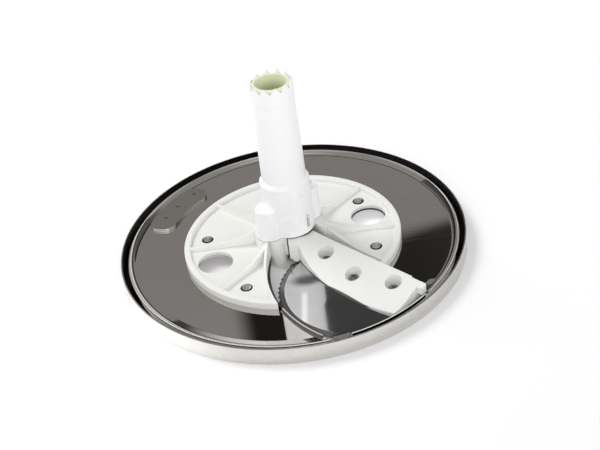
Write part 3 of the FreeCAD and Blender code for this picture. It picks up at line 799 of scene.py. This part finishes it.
def makeTableTop():
    half = tableTop["size"] / 2
    mesh = bpy.data.meshes.new("tableTop")
    mesh.from_pydata([(-half, -half, 0), (half, -half, 0), (half, half, 0), (-half, half, 0)], [], [(0, 1, 2, 3)])
    mesh.materials.append(makeTablePaper())
    floor = bpy.data.objects.new("tableTop", mesh)
    floor.location.z = -tableTop["drop"]
    bpy.context.scene.collection.objects.link(floor)


# Soft light from all round, stronger from low in front
roomFill = {
    "colour": (0.985, 0.985, 1.0),
    "strength": 0.475,
    "front": 1.03,
    "towards": (0.14, -0.99),
    "frontFacing": (-0.25, 0.55),
    "frontBelow": (0.48, 0.70),
}

# What the polished steel mirrors: a grey room with bright walls in front and at the sides, a dark panel high
# at the back, a dusky band and a white backdrop under it, and a bright ceiling in front of straight up
mirrorRoom = {
    "tint": (1.0, 0.985, 0.965),
    "grey": 0.275,
    "greyHigh": 0.325,
    "greyHeight": (0.56, 0.70),
    "panel": (0.016, 0.115),
    "panelAcross": (0.05, 0.55),
    "panelSlope": 0.19,
    "panelFoot": (0.596, 0.606),
    "panelSide": (-0.079, -0.051),
    "panelTop": (0.71, 0.79),
    "panelBack": (0.30, 0.40),
    "lightWall": 0.55,
    "frontWall": (-0.25, -0.75),
    "sideWall": (0.72, 0.90),
    "dusk": 0.07,
    "duskBelow": (0.43, 0.51),
    "backdrop": 0.95,
    "backdropBelow": (0.32, 0.18),
    "ceiling": 0.75,
    "ceilingAbove": (0.93, 0.965),
    "ceilingFront": (0.05, -0.02),
}


def makeMirrorRoom(tree, x, y, z):
    atBack = rise(tree, y, *mirrorRoom["panelBack"])
    sideways = mathNode(tree, "DIVIDE", x, mathNode(tree, "MAXIMUM", y, 0.01))  # never divides by zero
    foot = mathNode(tree, "ADD", z, multiply(tree, x, mirrorRoom["panelSlope"]))
    panel = multiply(tree, rise(tree, foot, *mirrorRoom["panelFoot"]),
                     rise(tree, sideways, *mirrorRoom["panelSide"]),
                     fall(tree, z, *mirrorRoom["panelTop"]), atBack)
    panelGrey = ramp(tree, sideways, *mirrorRoom["panelAcross"], *mirrorRoom["panel"])
    sideWall = rise(tree, mathNode(tree, "ABSOLUTE", x), *mirrorRoom["sideWall"])
    bright = mathNode(tree, "MAXIMUM", rise(tree, y, *mirrorRoom["frontWall"]), sideWall)
    grey = ramp(tree, z, *mirrorRoom["greyHeight"], mirrorRoom["grey"], mirrorRoom["greyHigh"])
    room = blendValues(tree, bright, grey, mirrorRoom["lightWall"])
    duskBand = multiply(tree, fall(tree, z, *mirrorRoom["duskBelow"]), atBack)
    room = blendValues(tree, duskBand, room, mirrorRoom["dusk"])
    backdrop = multiply(tree, rise(tree, z, *mirrorRoom["backdropBelow"]), mirrorRoom["backdrop"])
    overhead = multiply(tree, rise(tree, z, *mirrorRoom["ceilingAbove"]),
                        rise(tree, y, *mirrorRoom["ceilingFront"]), mirrorRoom["ceiling"])
    room = mathNode(tree, "MAXIMUM", mathNode(tree, "MAXIMUM", room, backdrop), overhead)
    return blendValues(tree, panel, room, panelGrey)


def mixShaders(tree, mask, first, second):
    node = addNode(tree, "MixShader")
    for socket, source in zip(node.inputs, (mask, first.outputs[0], second.outputs[0])):
        tree.links.new(source, socket)
    return node


def makeWorld():
    world = bpy.data.worlds.new("studioWorld")
    world.use_nodes = True
    bpy.context.scene.world = world
    tree = world.node_tree
    seen = addNode(tree, "LightPath")
    x, y, z = splitPoint(tree, addNode(tree, "TexCoord").outputs["Generated"])

    mirrored = addNode(tree, "Background", Color=(*mirrorRoom["tint"], 1.0))
    tree.links.new(makeMirrorRoom(tree, x, y, z), mirrored.inputs["Strength"])

    fill = tree.nodes["Background"]
    fill.inputs["Color"].default_value = (*roomFill["colour"], 1.0)
    towardsX, towardsY = roomFill["towards"]
    toFront = mathNode(tree, "ADD", multiply(tree, y, towardsY), multiply(tree, x, towardsX))
    lowFront = multiply(tree, rise(tree, toFront, *roomFill["frontFacing"]),
                        fall(tree, z, *roomFill["frontBelow"]))
    tree.links.new(mathNode(tree, "MULTIPLY_ADD", lowFront, roomFill["front"], roomFill["strength"]),
                   fill.inputs["Strength"])

    white = addNode(tree, "Background", Color=(1.0, 1.0, 1.0, 1.0), Strength=1.0)
    straight = mathNode(tree, "LESS_THAN", seen.outputs["Diffuse Depth"], 0.5)  # no matt surface on the way
    toGlossy = mixShaders(tree, multiply(tree, seen.outputs["Is Glossy Ray"], straight), fill, mirrored)
    toCamera = mixShaders(tree, seen.outputs["Is Camera Ray"], toGlossy, white)
    tree.links.new(toCamera.outputs[0], tree.nodes["World Output"].inputs["Surface"])


# A broad key light high at the back left, and a weak one in front that the steel mirrors too
lamps = {
    "colour": (1.0, 0.99, 0.97),
    "aim": (0.0, 0.0, 0.02),
    "keyLamp": {"place": (-0.72, 0.56, 1.20), "size": 0.85, "power": 11.3, "mirrored": False},
    "sideLamp": {"place": (0.35, -1.35, 0.75), "size": 0.6, "power": 0.8, "mirrored": True},
}


def makeLamp(name):
    values = lamps[name]
    data = bpy.data.lights.new(name, "AREA")
    data.shape = "DISK"
    data.size = values["size"]
    data.energy = values["power"]
    data.color = lamps["colour"]
    lamp = bpy.data.objects.new(name, data)
    lamp.location = values["place"]
    lamp.rotation_mode = "QUATERNION"
    lamp.rotation_quaternion = (Vector(lamps["aim"]) - Vector(values["place"])).to_track_quat("-Z", "Y")
    lamp.visible_glossy = values["mirrored"]
    bpy.context.scene.collection.objects.link(lamp)


# Camera at the photograph's angle, in which the disc leans by 8 degrees
photoCamera = {
    "place": (0.0, -0.5390, 0.3894),
    "right": (0.9900, -0.0865, -0.1114),
    "up": (0.1408, 0.5634, 0.8141),
    "lens": 72.0,
    "sensor": 36.0,
    "clip": (0.01, 20.0),
}


def makeCamera():
    data = bpy.data.cameras.new("photoCamera")
    data.lens = photoCamera["lens"]
    data.sensor_width = photoCamera["sensor"]
    data.clip_start, data.clip_end = photoCamera["clip"]
    camera = bpy.data.objects.new("photoCamera", data)
    right = Vector(photoCamera["right"]).normalized()
    up = Vector(photoCamera["up"])
    up = (up - up.dot(right) * right).normalized()
    back = right.cross(up)
    turn = Matrix((right, up, back)).transposed().to_4x4()
    camera.matrix_world = Matrix.Translation(photoCamera["place"]) @ turn
    bpy.context.scene.collection.objects.link(camera)
    bpy.context.scene.camera = camera


makeTableTop()
makeWorld()
makeLamp("keyLamp")
makeLamp("sideLamp")
makeCamera()
bpy.context.scene.view_settings.view_transform = "Standard"
print("studio and camera made")
